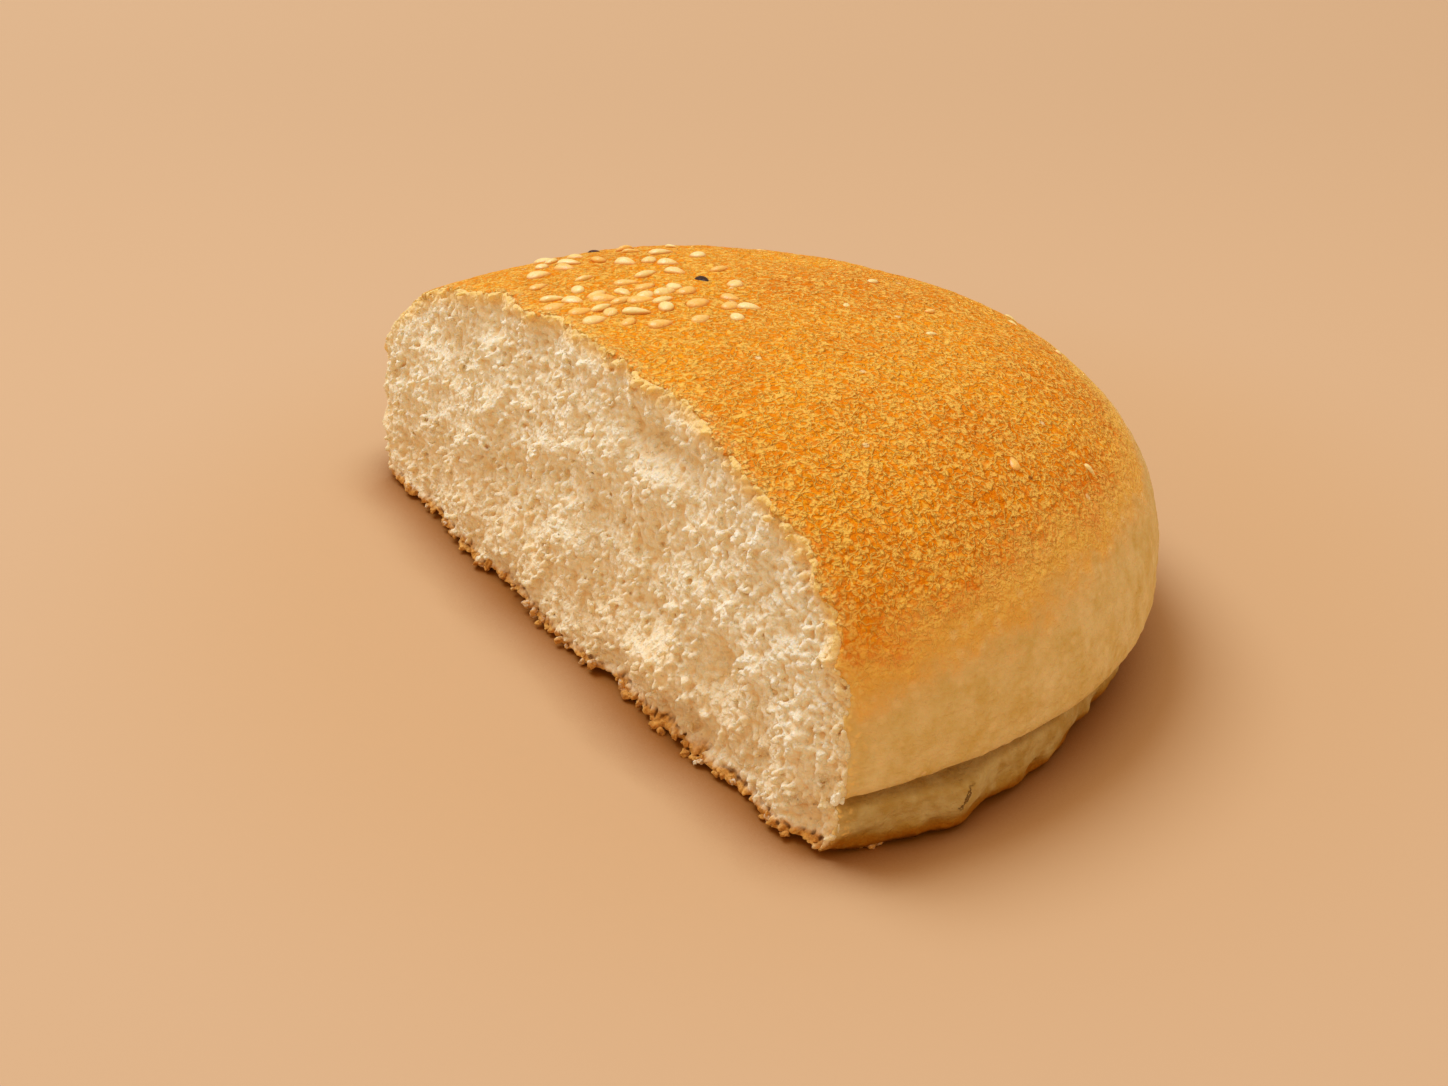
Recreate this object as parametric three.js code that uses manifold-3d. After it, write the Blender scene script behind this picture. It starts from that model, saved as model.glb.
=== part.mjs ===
// Half of a thick, soft round bread with sesame seeds, torn across a little past the middle.
// Millimetres, +Z up. The bread lies on its browned base, the torn face looks along -Y,
// and the origin is the middle of the bounding box at the level of the base.

import * as THREE from 'three';
import { mergeVertices } from 'three/addons/utils/BufferGeometryUtils.js';
import Module from 'manifold-3d';

// Driving dimensions of the whole round bread
const loafRadius = 60; // to the widest line of the dome
const loafHeight = 40.3;
const widestHeight = 9.7; // level of that widest line
const seamHeight = 7.1; // crease between the risen dome and the base layer
const seamDepth = 2.3; // how far the crease lies inside the dome
const lipUndercut = 1; // how far the dome's edge draws in above the crease
const slabRadius = 58.3; // the base layer where it bulges
const baseRadius = 56.5; // the base layer at the floor
const rimRounding = 1.1; // soft edge of the browned base
const rimBulge = { size: 1.7, angle: 0.012, halfWidth: 0.063 }; // where the base has spread, radians
const crownPower = 2.51; // fullness of the dome seen from the side, up and down
const shoulderPower = 2.45; // and outward
const crownLean = new THREE.Vector2(2.37 / 60, 0.25 / 60); // rise of the crown per millimetre along X and Y
const lipTurn = 0.7; // share of the way from the widest line down to the crease where the lip turns in
const slabBelly = 0.55; // share of the crease's height under which the base layer draws in
const slabTuck = 0.78; // and the share above which it tucks into the crease
// Wander of the crease: height, waves round the loaf, turn in radians, the level that stays still,
// and how far under and over the crease the wander is full
const seamWave = { height: 0.45, count: 3, turn: 1.3, still: 0.3, under: 1, over: 0.6 };
// Waves round the outline seen from above: share of the radius, how many, and turn in radians
const domeWaves = [
  { share: -0.007, count: 2, turn: -0.216 },
  { share: 0.013, count: 3, turn: -2.52 },
];
const baseWaves = [
  { share: 0.016, count: 2, turn: 1.424 },
  { share: 0.004, count: 17, turn: -4.76 },
  { share: 0.003, count: 9, turn: 0.6 - Math.PI / 2 },
];
// Low swellings of the crust: height, length, and which stretch of the unevenness they use
const swells = { height: 0.35, length: 15, shiftX: 9, shiftY: 4, layer: 1 };

// The torn face
const tornOffset = 13.7; // from the loaf's axis to the face, at middle height
const tornMiddle = 18; // that height
const tornSlope = 4.2 / 36; // the face leans back as it rises
const tornBow = 1.35; // it stands proud in the middle
const tornHalfWidth = 54;
const clumps = { height: 1.1, length: 7, shiftX: 3, shiftY: 7, layer: 2 }; // torn clumps of crumb
const tufts = { height: 0.7, length: 3.3, shiftX: 5, shiftY: 1, layer: 3 }; // finer tufts on them
const reliefAtBase = 0.35; // share of the relief that is left at the floor
const baseLedge = 0.5; // the browned base stands out under the crumb
const baseLedgeHeight = 1.3;
// Hollows (positive depth) and clumps (negative) that stand out: x, z, half width, half height, depth
const tornFeatures = [
  [18, 33, 6.5, 2.6, 2.6],
  [20, 21.5, 2.6, 5.2, 1.8],
  [9, 10.5, 3.5, 3, 1.2],
  [34, 13, 2.4, 3.6, 1.9],
  [32, 3.4, 4.2, 2, 2.2],
  [44, 6, 2.2, 1.6, 1.6],
  [52.6, 4.2, 1.8, 2.6, 1.7],
  [-12, 17, 4, 3, 1.1],
  [-38, 27, 4.5, 3, 1.3],
  [40, 18.5, 4.4, 4.4, -1.6],
  [51.5, 12.5, 2.2, 3.6, -1.3],
  [24, 8.5, 4.4, 2.6, -1.1],
  [-22, 24, 6, 4, -0.9],
  [58, 0, 9, 6, 1.3],
];

// Sesame seeds
const seedLength = 3.4;
const seedWidth = 2.05;
const seedThickness = 1.2;
const seedTaper = 0.38; // how much slimmer the pointed end is
const seedSunk = 0.14; // how far the middle of a seed lies below the crust's surface
const seedFocus = 0.62; // from 0.5, spread evenly, to 1, drawn to the middle
const edgeMargin = 2.6; // seeds keep this far from the torn edge
// Seeds that stand out: x, y, angle, size
const placedSeeds = [
  [-9, 10.1, 0.15, 0.72], // the black seed
  [2.4, 7.2, 2.2, 0.95], // a pair lying in a V
  [3.9, 8.9, 0.7, 0.95],
  [-37.8, 10.2, 0.4, 0.6], // a dark one on the far shoulder
];
// Where seeds fell: centre, half lengths along X and Y, draws, least gap, smallest size and range of sizes
const seedFields = [
  { x: -6.5, y: -2.5, halfX: 10.5, halfY: 8.5, draws: 90, spacing: 2.35, size: 0.9, sizeRange: 0.24 },
  { x: -15, y: 4, halfX: 22, halfY: 13.5, draws: 75, spacing: 3, size: 0.8, sizeRange: 0.28 },
];
// Single seeds over the far side of the dome: turns in radians and distances from the axis
const strays = { draws: 24, spacing: 6, fromTurn: 0.19, turnRange: 2.5, from: 20, range: 33, size: 0.5, sizeRange: 0.16 };

// Steps of the faceted surfaces
const turnSteps = 86;
const domeSteps = 20;
const slabLevels = [1, 0.87, 0.55, 0.28, 0.085, 0.02, 0]; // shares of the crease's height
const baseSteps = [0.6, 0]; // shares of the base's radius
const faceStep = 1.8;
const normalReach = 0.4; // the crust's slope is taken over this distance each way
const joiningTolerance = 0.03;
const cutterMargin = 9; // the torn-away half reaches this far past the loaf

const crustMaterial = new THREE.MeshStandardMaterial({ color: 0xd9912f, roughness: 0.72, metalness: 0 });

// One repeatable draw from 0 to 1 for each whole number
function draw(n) {
  const s = Math.sin(n * 12.9898 + 78.233) * 43758.5453;
  return s - Math.floor(s);
}

// Smooth unevenness from -1 to 1, with bumps one unit long
function unevenness(x, y, layer) {
  const i = Math.floor(x);
  const j = Math.floor(y);
  const u = THREE.MathUtils.smoothstep(x, i, i + 1);
  const v = THREE.MathUtils.smoothstep(y, j, j + 1);
  const corner = (di, dj) => draw(i + di + 57 * (j + dj) + 1013 * layer);
  const low = THREE.MathUtils.lerp(corner(0, 0), corner(1, 0), u);
  const high = THREE.MathUtils.lerp(corner(0, 1), corner(1, 1), u);
  return 2 * THREE.MathUtils.lerp(low, high, v) - 1;
}

// Unevenness of one kind, in millimetres
function relief(kind, x, y) {
  return kind.height * unevenness(x / kind.length + kind.shiftX, y / kind.length + kind.shiftY, kind.layer);
}

function roundness(waves, angle) {
  return waves.reduce((sum, wave) => sum + wave.share * Math.cos(wave.count * angle + wave.turn), 1);
}

// The dome's outline seen from above, as a share of loafRadius
function domeRoundness(angle) {
  return roundness(domeWaves, angle);
}

// The base layer's outline, a little more oval and uneven than the dome's
function baseRoundness(angle) {
  const bulge = (rimBulge.size / baseRadius) * Math.exp(-(((angle - rimBulge.angle) / rimBulge.halfWidth) ** 2));
  return roundness(baseWaves, angle) + bulge;
}

// Height of the crust over a point inside the dome's outline
function crustHeight(x, y) {
  const reach = Math.hypot(x, y) / (loafRadius * domeRoundness(Math.atan2(y, x)));
  const rise = Math.pow(Math.max(0, 1 - Math.pow(reach, shoulderPower)), 1 / crownPower);
  const crown = loafHeight + crownLean.x * x + crownLean.y * y - widestHeight;
  const fading = Math.min(1, 3 * rise); // no swelling at the widest line
  return widestHeight + rise * crown + relief(swells, x, y) * fading;
}

// Radius of the plain loaf at a level under the widest line
function sideRadius(z) {
  if (z > seamHeight) {
    const down = (widestHeight - z) / (widestHeight - seamHeight);
    const turnIn = (seamDepth - lipUndercut) * THREE.MathUtils.smoothstep(down, lipTurn, 1);
    return loafRadius - lipUndercut * down ** 2 - turnIn;
  }
  const up = z / seamHeight;
  const taper = (slabRadius - baseRadius) * Math.max(0, 1 - up / slabBelly) ** 2;
  const tuck = (slabRadius - loafRadius + seamDepth) * THREE.MathUtils.smoothstep(up, slabTuck, 1);
  const under = Math.max(0, 1 - z / rimRounding);
  return slabRadius - taper - tuck - rimRounding * (1 - Math.sqrt(1 - under ** 2));
}

// Points of the profile from the middle of the base out and up to the crown: radius, height
function loafProfile() {
  const points = [];
  for (let i = 0; i <= domeSteps; i += 1) {
    const slope = (0.5 * Math.PI * i) / domeSteps;
    points.push(new THREE.Vector2(loafRadius * Math.sin(slope), widestHeight + Math.cos(slope)));
  }
  points[0].x = 0;
  for (const share of [0.5, 1 - lipTurn, 0.1]) {
    const z = THREE.MathUtils.lerp(seamHeight, widestHeight, share);
    points.push(new THREE.Vector2(sideRadius(z), z));
  }
  for (const share of slabLevels) {
    points.push(new THREE.Vector2(sideRadius(share * seamHeight), share * seamHeight));
  }
  for (const share of baseSteps) points.push(new THREE.Vector2(share * baseRadius, 0));
  return points.reverse();
}

// Moves a point of the plain turned profile to its place on the uneven loaf
function shapeLoafPoint(point) {
  const angle = Math.atan2(point.y, point.x);
  const plainRadius = Math.hypot(point.x, point.y);
  const above = point.z > widestHeight;
  const domeShare = THREE.MathUtils.smoothstep(point.z, seamHeight - seamWave.under, seamHeight);
  const outline = THREE.MathUtils.lerp(baseRoundness(angle), domeRoundness(angle), domeShare);
  const radius = plainRadius * outline;
  point.x = radius * Math.cos(angle);
  point.y = radius * Math.sin(angle);
  if (above) {
    point.z = crustHeight(point.x, point.y);
  } else if (point.z > 0) {
    const aboveBase = THREE.MathUtils.smoothstep(point.z, seamWave.still, seamHeight - seamWave.under);
    const belowDome = 1 - THREE.MathUtils.smoothstep(point.z, seamHeight + seamWave.over, widestHeight);
    const wander = seamWave.height * Math.sin(seamWave.count * angle + seamWave.turn);
    point.z += wander * aboveBase * belowDome;
  }
  return point;
}

// Geometry with shared corners only, and without the flat triangles at the poles
function weldedGeometry(source) {
  const plain = source.clone();
  plain.deleteAttribute('normal');
  plain.deleteAttribute('uv');
  const welded = mergeVertices(plain, 1e-4);
  const corners = welded.index.array;
  const kept = [];
  for (let i = 0; i < corners.length; i += 3) {
    const [a, b, c] = [corners[i], corners[i + 1], corners[i + 2]];
    if (a !== b && b !== c && c !== a) kept.push(a, b, c);
  }
  welded.setIndex(kept);
  return welded;
}

function wholeLoaf() {
  const turned = new THREE.LatheGeometry(loafProfile(), turnSteps);
  turned.rotateX(Math.PI / 2);
  const loaf = weldedGeometry(turned);
  const places = loaf.attributes.position;
  const point = new THREE.Vector3();
  for (let i = 0; i < places.count; i += 1) {
    shapeLoafPoint(point.fromBufferAttribute(places, i));
    places.setXYZ(i, point.x, point.y, point.z);
  }
  return loaf;
}

// Y of the torn face before its relief
function tornPlane(x, z) {
  const bow = tornBow * (1 - (x / tornHalfWidth) ** 2);
  return -tornOffset + tornSlope * (z - tornMiddle) - bow;
}

function tornFace(x, z) {
  let depthHere = relief(clumps, x, z) + relief(tufts, x, z);
  for (const [centreX, centreZ, halfWidth, halfHeight, depth] of tornFeatures) {
    const away = ((x - centreX) / halfWidth) ** 2 + ((z - centreZ) / halfHeight) ** 2;
    depthHere += depth * Math.exp(-away);
  }
  const aboveBase = THREE.MathUtils.smoothstep(z, 0, 2 * baseLedgeHeight);
  const ledge = 1 - THREE.MathUtils.smoothstep(z, 0.5 * baseLedgeHeight, 1.5 * baseLedgeHeight);
  return tornPlane(x, z) + depthHere * THREE.MathUtils.lerp(reliefAtBase, 1, aboveBase) - baseLedge * ledge;
}

// A block whose one side is the torn face: everything that was torn away
function tornAwayHalf() {
  const width = 2 * (loafRadius + cutterMargin);
  const height = loafHeight + 2 * cutterMargin;
  const columns = Math.round(width / faceStep);
  const rows = Math.round(height / faceStep);
  const block = new THREE.BoxGeometry(width, 2, height, columns, 1, rows);
  block.translate(0, 0, 0.5 * height - cutterMargin);
  const places = block.attributes.position;
  for (let i = 0; i < places.count; i += 1) {
    const torn = places.getY(i) > 0;
    const y = torn ? tornFace(places.getX(i), places.getZ(i)) : -loafRadius - cutterMargin;
    places.setY(i, y);
  }
  return weldedGeometry(block);
}

// A drop-shaped seed lying along X: round at one end and pointed at the other
function sesameSeed() {
  const seed = new THREE.SphereGeometry(1, 6, 4);
  seed.rotateZ(Math.PI / 2);
  const places = seed.attributes.position;
  for (let i = 0; i < places.count; i += 1) {
    const along = places.getX(i);
    const taper = 1 - seedTaper * along;
    places.setXYZ(
      i,
      0.5 * seedLength * along,
      0.5 * seedWidth * taper * places.getY(i),
      0.5 * seedThickness * taper * places.getZ(i),
    );
  }
  return weldedGeometry(seed);
}

function crustNormal(x, y) {
  const riseX = crustHeight(x + normalReach, y) - crustHeight(x - normalReach, y);
  const riseY = crustHeight(x, y + normalReach) - crustHeight(x, y - normalReach);
  return new THREE.Vector3(-riseX, -riseY, 2 * normalReach).normalize();
}

// Places, angles and sizes of the seeds: those that stand out, then the fields, then the strays
function seedPlaces() {
  const seeds = placedSeeds.map(([x, y, angle, size]) => ({ x, y, angle, size }));
  let drawn = 0;
  const nextDraw = () => draw((drawn += 1));
  const drop = (x, y, kind) => {
    const seed = { x, y, angle: Math.PI * nextDraw(), size: kind.size + kind.sizeRange * nextDraw() };
    const clear = seeds.every((other) => Math.hypot(other.x - x, other.y - y) > kind.spacing);
    if (clear && y > tornPlane(x, crustHeight(x, y)) + edgeMargin) seeds.push(seed);
  };
  for (const field of seedFields) {
    for (let i = 0; i < field.draws; i += 1) {
      const turn = 2 * Math.PI * nextDraw();
      const out = nextDraw() ** seedFocus;
      drop(field.x + field.halfX * out * Math.cos(turn), field.y + field.halfY * out * Math.sin(turn), field);
    }
  }
  for (let i = 0; i < strays.draws; i += 1) {
    const turn = strays.fromTurn + strays.turnRange * nextDraw();
    const out = strays.from + strays.range * nextDraw();
    drop(out * Math.cos(turn), out * Math.sin(turn), strays);
  }
  return seeds;
}

function placeSeed(seed, geometry) {
  const normal = crustNormal(seed.x, seed.y);
  const lay = new THREE.Quaternion().setFromUnitVectors(new THREE.Vector3(0, 0, 1), normal);
  const spin = new THREE.Quaternion().setFromAxisAngle(new THREE.Vector3(0, 0, 1), seed.angle);
  const middle = new THREE.Vector3(seed.x, seed.y, crustHeight(seed.x, seed.y));
  middle.addScaledVector(normal, -seedSunk);
  const scale = new THREE.Vector3(seed.size, seed.size, seed.size);
  return geometry.clone().applyMatrix4(new THREE.Matrix4().compose(middle, lay.multiply(spin), scale));
}

const wasm = await Module();
wasm.setup();

function toSolid(geometry) {
  const vertProperties = new Float32Array(geometry.attributes.position.array);
  const triVerts = new Uint32Array(geometry.index.array);
  return new wasm.Manifold(new wasm.Mesh({ numProp: 3, vertProperties, triVerts, tolerance: joiningTolerance }));
}

function toGeometry(solid) {
  const mesh = solid.getMesh();
  const geometry = new THREE.BufferGeometry();
  geometry.setAttribute('position', new THREE.BufferAttribute(mesh.vertProperties, 3));
  geometry.setIndex(new THREE.BufferAttribute(mesh.triVerts, 1));
  geometry.computeVertexNormals();
  return geometry;
}

function makeBread() {
  let solid = toSolid(wholeLoaf()).subtract(toSolid(tornAwayHalf()));
  const seedGeometry = sesameSeed();
  for (const seed of seedPlaces()) {
    solid = solid.add(toSolid(placeSeed(seed, seedGeometry)));
  }
  const bread = new THREE.Mesh(toGeometry(solid), crustMaterial);
  bread.name = 'bread';
  return bread;
}

const bread = makeBread();
const extent = new THREE.Box3().setFromObject(bread);
bread.position.set(-0.5 * (extent.min.x + extent.max.x), -0.5 * (extent.min.y + extent.max.y), -extent.min.z);

const part = new THREE.Group();
part.add(bread);

export default part;
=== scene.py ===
import math
import bmesh
import bpy
import numpy as np
import openvdb
from mathutils import Matrix, Vector


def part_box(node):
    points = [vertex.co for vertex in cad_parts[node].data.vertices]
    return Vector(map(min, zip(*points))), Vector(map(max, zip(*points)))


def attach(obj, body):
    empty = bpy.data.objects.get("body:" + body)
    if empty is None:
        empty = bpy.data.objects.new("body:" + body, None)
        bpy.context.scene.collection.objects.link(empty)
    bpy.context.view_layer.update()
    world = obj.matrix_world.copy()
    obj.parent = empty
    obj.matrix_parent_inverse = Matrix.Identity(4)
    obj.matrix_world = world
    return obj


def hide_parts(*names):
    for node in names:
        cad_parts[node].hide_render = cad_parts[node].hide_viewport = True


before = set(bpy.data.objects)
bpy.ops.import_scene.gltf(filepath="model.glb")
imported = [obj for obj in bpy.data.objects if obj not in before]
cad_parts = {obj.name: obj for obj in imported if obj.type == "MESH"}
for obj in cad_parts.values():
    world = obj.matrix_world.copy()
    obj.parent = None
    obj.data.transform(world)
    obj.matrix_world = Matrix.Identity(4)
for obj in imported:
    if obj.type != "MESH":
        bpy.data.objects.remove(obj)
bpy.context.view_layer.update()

# All shapes are worked out in millimetres round the loaf's own axis, and moved into the frame at the end
# The loaf's and the tear's sizes, as the solid has them
loaf = dict(
    radius=60.0, height=40.3, widest=9.7, seam=7.1, seamDepth=2.3, lipUndercut=1.0,
    slabRadius=58.3, baseRadius=56.5, rimRounding=1.1, crownPower=2.51, shoulderPower=2.45,
    leanX=2.37 / 60, leanY=0.25 / 60, lipTurn=0.7, slabBelly=0.55, slabTuck=0.78,
    bulgeSize=1.7, bulgeAngle=0.012, bulgeWidth=0.063,
    seamWave=dict(height=0.45, count=3, turn=1.3, still=0.3, under=1.0, over=0.6),
    domeWaves=((-0.007, 2, -0.216), (0.013, 3, -2.52)),  # share of the radius, how many, turn
    baseWaves=((0.016, 2, 1.424), (0.004, 17, -4.76), (0.003, 9, 0.6 - math.pi / 2)),
    swells=dict(height=0.35, length=15.0, shiftX=9, shiftY=4, layer=1),
    leftFrom=-14, leftTo=194,  # the degrees of the round that the tear leaves
)
torn = dict(
    offset=13.7, middle=18.0, slope=4.2 / 36, bow=1.35, halfWidth=54.0,
    reliefAtBase=0.35, ledge=0.5, ledgeHeight=1.3,
    clumps=dict(height=1.1, length=7.0, shiftX=3, shiftY=7, layer=2),
    tufts=dict(height=0.7, length=3.3, shiftX=5, shiftY=1, layer=3),
    features=(  # x, z, half width, half height, depth of the hollows and clumps that stand out
        (18, 33, 6.5, 2.6, 2.6), (20, 21.5, 2.6, 5.2, 1.8), (9, 10.5, 3.5, 3, 1.2), (34, 13, 2.4, 3.6, 1.9),
        (32, 3.4, 4.2, 2, 2.2), (44, 6, 2.2, 1.6, 1.6), (52.6, 4.2, 1.8, 2.6, 1.7), (-12, 17, 4, 3, 1.1),
        (-38, 27, 4.5, 3, 1.3), (40, 18.5, 4.4, 4.4, -1.6), (51.5, 12.5, 2.2, 3.6, -1.3),
        (24, 8.5, 4.4, 2.6, -1.1), (-22, 24, 6, 4, -0.9), (58, 0, 9, 6, 1.3),
    ),
)


def smoothStep(value, low, high):
    share = np.clip((value - low) / (high - low), 0, 1)
    return share * share * (3 - 2 * share)


def draw(n):
    s = np.sin(np.asarray(n, np.float64) * 12.9898 + 78.233) * 43758.5453
    return s - np.floor(s)


def unevenness(x, y, layer):  # from -1 to 1, with bumps one unit long
    i, j = np.floor(x), np.floor(y)
    u, v = smoothStep(x, i, i + 1), smoothStep(y, j, j + 1)
    corner = lambda di, dj: draw(i + di + 57 * (j + dj) + 1013 * layer)
    low = corner(0, 0) * (1 - u) + corner(1, 0) * u
    high = corner(0, 1) * (1 - u) + corner(1, 1) * u
    return 2 * (low * (1 - v) + high * v) - 1


def relief(kind, x, y):
    x, y = x / kind["length"] + kind["shiftX"], y / kind["length"] + kind["shiftY"]
    return kind["height"] * unevenness(x, y, kind["layer"])


def roundness(waves, angle):
    return 1 + sum(share * np.cos(count * angle + turn) for share, count, turn in waves)


def domeRoundness(angle):
    return roundness(loaf["domeWaves"], angle)


def baseRoundness(angle):
    bulge = np.exp(-((angle - loaf["bulgeAngle"]) / loaf["bulgeWidth"]) ** 2)
    return roundness(loaf["baseWaves"], angle) + loaf["bulgeSize"] / loaf["baseRadius"] * bulge


def crownRise(x, y):
    return loaf["height"] + loaf["leanX"] * x + loaf["leanY"] * y - loaf["widest"]


def swell(x, y, rise):  # none at the widest line
    return relief(loaf["swells"], x, y) * np.minimum(1, 3 * rise)


def crustHeight(x, y):
    reach = np.hypot(x, y) / (loaf["radius"] * domeRoundness(np.arctan2(y, x)))
    rise = np.maximum(0, 1 - reach ** loaf["shoulderPower"]) ** (1 / loaf["crownPower"])
    return loaf["widest"] + rise * crownRise(x, y) + swell(x, y, rise)


def sideRadius(z):  # the profile under the widest line: lip, crease, base layer and rounded rim
    v = np.clip((loaf["widest"] - z) / (loaf["widest"] - loaf["seam"]), 0, 1)
    turnedIn = (loaf["seamDepth"] - loaf["lipUndercut"]) * smoothStep(v, loaf["lipTurn"], 1)
    lip = loaf["radius"] - loaf["lipUndercut"] * v ** 2 - turnedIn
    w = np.clip(z / loaf["seam"], 0, 1)
    taper = (loaf["slabRadius"] - loaf["baseRadius"]) * np.clip(1 - w / loaf["slabBelly"], 0, 1) ** 2
    tuck = (loaf["slabRadius"] - loaf["radius"] + loaf["seamDepth"]) * smoothStep(w, loaf["slabTuck"], 1)
    under = np.clip(1 - z / loaf["rimRounding"], 0, 1)
    rounding = loaf["rimRounding"] * (1 - np.sqrt(np.maximum(0, 1 - under ** 2)))
    return np.where(z > loaf["seam"], lip, loaf["slabRadius"] - taper - tuck - rounding)


def tornPlane(x, z):
    bow = torn["bow"] * (1 - (x / torn["halfWidth"]) ** 2)
    return -torn["offset"] + torn["slope"] * (z - torn["middle"]) - bow


def tornFace(x, z):
    depth = relief(torn["clumps"], x, z) + relief(torn["tufts"], x, z)
    for centreX, centreZ, halfWidth, halfHeight, featureDepth in torn["features"]:
        away = ((x - centreX) / halfWidth) ** 2 + ((z - centreZ) / halfHeight) ** 2
        depth = depth + featureDepth * np.exp(-away)
    left = torn["reliefAtBase"] + (1 - torn["reliefAtBase"]) * smoothStep(z, 0, 2 * torn["ledgeHeight"])
    ledge = 1 - smoothStep(z, 0.5 * torn["ledgeHeight"], 1.5 * torn["ledgeHeight"])
    return tornPlane(x, z) + depth * left - torn["ledge"] * ledge


def findAxis():  # where the loaf's axis stands in the frame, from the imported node's box
    low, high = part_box("bread")
    angles = np.radians(np.arange(loaf["leftFrom"], loaf["leftTo"], 0.1))
    radii = loaf["radius"] * domeRoundness(angles)
    outX, outY = radii * np.cos(angles), radii * np.sin(angles)
    middleX = 0.5 * (low.x + high.x) - 0.0005 * (outX.max() + outX.min())
    return Vector((middleX, high.y - 0.001 * outY.max(), low.z))


axisPlace = findAxis()

# What the bread has beyond the solid: the lumpy rim of the base layer, a foot that stands a little off the
# floor along the tear, and the crease, where the skin lies flatter and so is taken deeper
rim = dict(top=4.2, lump=0.75, length=2.6, layer=8, lift=1.6, liftLength=3.6, reach=1.6)
foot = dict(lift=1.1, usual=0.7, range=0.6, least=0.25, length=2.7, fade=5.0, layer=6)
crease = dict(start=4.5, full=6.0, fades=9.0, end=11.0)


# Fields on a grid of cells, negative inside a solid
class Cells:
    def __init__(self, low, high, step):
        self.low, self.step = np.array(low, float), step
        self.shape = tuple(int((b - a) / step) + 2 for a, b in zip(low, high))
        lines = [(a + step * np.arange(n)).astype(np.float32) for a, n in zip(low, self.shape)]
        self.x, self.y, self.z = np.meshgrid(*lines, indexing="ij", sparse=True)

    def roughness(self, length, seed):  # smooth noise from about -1 to 1 with bumps of that length
        counts = [int(n * self.step / length) + 4 for n in self.shape]
        values = np.random.default_rng(seed).uniform(-1, 1, counts)
        for direction, count in enumerate(self.shape):
            places = np.arange(count) * self.step / length
            index = places.astype(int)
            share = smoothStep(places - index, 0, 1)
            shaper = [1, 1, 1]
            shaper[direction] = count
            share = share.reshape(shaper).astype(np.float32)
            low, high = values.take(index, direction), values.take(index + 1, direction)
            values = low * (1 - share) + high * share
        return values.astype(np.float32)

    def sample(self, field, points):
        places = (points - self.low) / self.step
        index = np.clip(places.astype(int), 0, np.array(self.shape) - 2)
        share = np.clip(places - index, 0, 1)
        total = 0
        for corner in np.ndindex(2, 2, 2):
            weight = np.prod(np.where(corner, share, 1 - share), axis=1)
            total = total + weight * field[tuple((index + corner).T)]
        return total


def sideField(cells):  # distance to the loaf's outer skin, without the flat of the base
    angle = np.arctan2(cells.y, cells.x)
    distance = np.hypot(cells.x, cells.y)
    dome, base = domeRoundness(angle), baseRoundness(angle)
    wave = loaf["seamWave"]
    aboveBase = smoothStep(cells.z, wave["still"], loaf["seam"] - wave["under"])
    belowDome = 1 - smoothStep(cells.z, loaf["seam"] + wave["over"], loaf["widest"])
    z = cells.z - wave["height"] * np.sin(wave["count"] * angle + wave["turn"]) * aboveBase * belowDome
    share = smoothStep(z, loaf["seam"] - wave["under"], loaf["seam"])
    below = distance / (base * (1 - share) + dome * share) - sideRadius(z)
    low = slice(0, int((rim["top"] - cells.low[2]) / cells.step))
    arc = angle * loaf["baseRadius"] / rim["length"]
    lumps = unevenness(arc, cells.z[:, :, low] / rim["length"] + 0 * arc, rim["layer"])
    fade = 1 - smoothStep(cells.z[:, :, low], 0.5 * rim["top"], rim["top"])
    below[:, :, low] -= rim["lump"] * lumps * fade
    reach = distance / (loaf["radius"] * dome)
    rise = np.maximum(0, 1 - np.minimum(reach, 1) ** loaf["shoulderPower"]) ** (1 / loaf["crownPower"])
    bumps = swell(cells.x, cells.y, rise).astype(np.float32)
    lift = (cells.z - loaf["widest"] - bumps) / crownRise(cells.x, cells.y)
    power = 1 / math.sqrt(loaf["crownPower"] * loaf["shoulderPower"])
    above = (reach ** loaf["shoulderPower"] + np.maximum(lift, 0) ** loaf["crownPower"]) ** power - 1
    steepness = np.sqrt(sum(g ** 2 for g in np.gradient(above, cells.step)))
    above = above / np.maximum(steepness, 0.3 / loaf["radius"])
    return np.where(cells.z > loaf["widest"], above, below).astype(np.float32)


def keepLargest(count, faces):  # which corners belong to the largest connected surface
    label = np.arange(count)
    starts = np.concatenate([f[:, k] for f in faces for k in range(f.shape[1])])
    ends = np.concatenate([np.roll(f, -1, 1)[:, k] for f in faces for k in range(f.shape[1])])
    while True:
        lowest = np.minimum(label[starts], label[ends])
        new = label.copy()
        np.minimum.at(new, starts, lowest)
        np.minimum.at(new, ends, lowest)
        new = new[new]
        if (new == label).all():
            break
        label = new
    return label == np.bincount(label).argmax()


def surfaceOf(cells, field):  # corners in millimetres, triangles and quads of the field's zero surface
    grid = openvdb.FloatGrid(1.0)
    grid.copyFromArray(np.ascontiguousarray(field, dtype=np.float32))
    points, triangles, quads = grid.convertToPolygons(isovalue=0.0, adaptivity=0.0)
    faces = [f.astype(np.int64)[:, ::-1] for f in (triangles, quads) if len(f)]
    kept = keepLargest(len(points), faces)
    number = np.cumsum(kept) - 1
    faces = [number[f[kept[f[:, 0]]]] for f in faces]
    return cells.low + points[kept] * cells.step, faces


def toFrame(points):
    return points * 0.001 + np.array(axisPlace)


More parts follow.
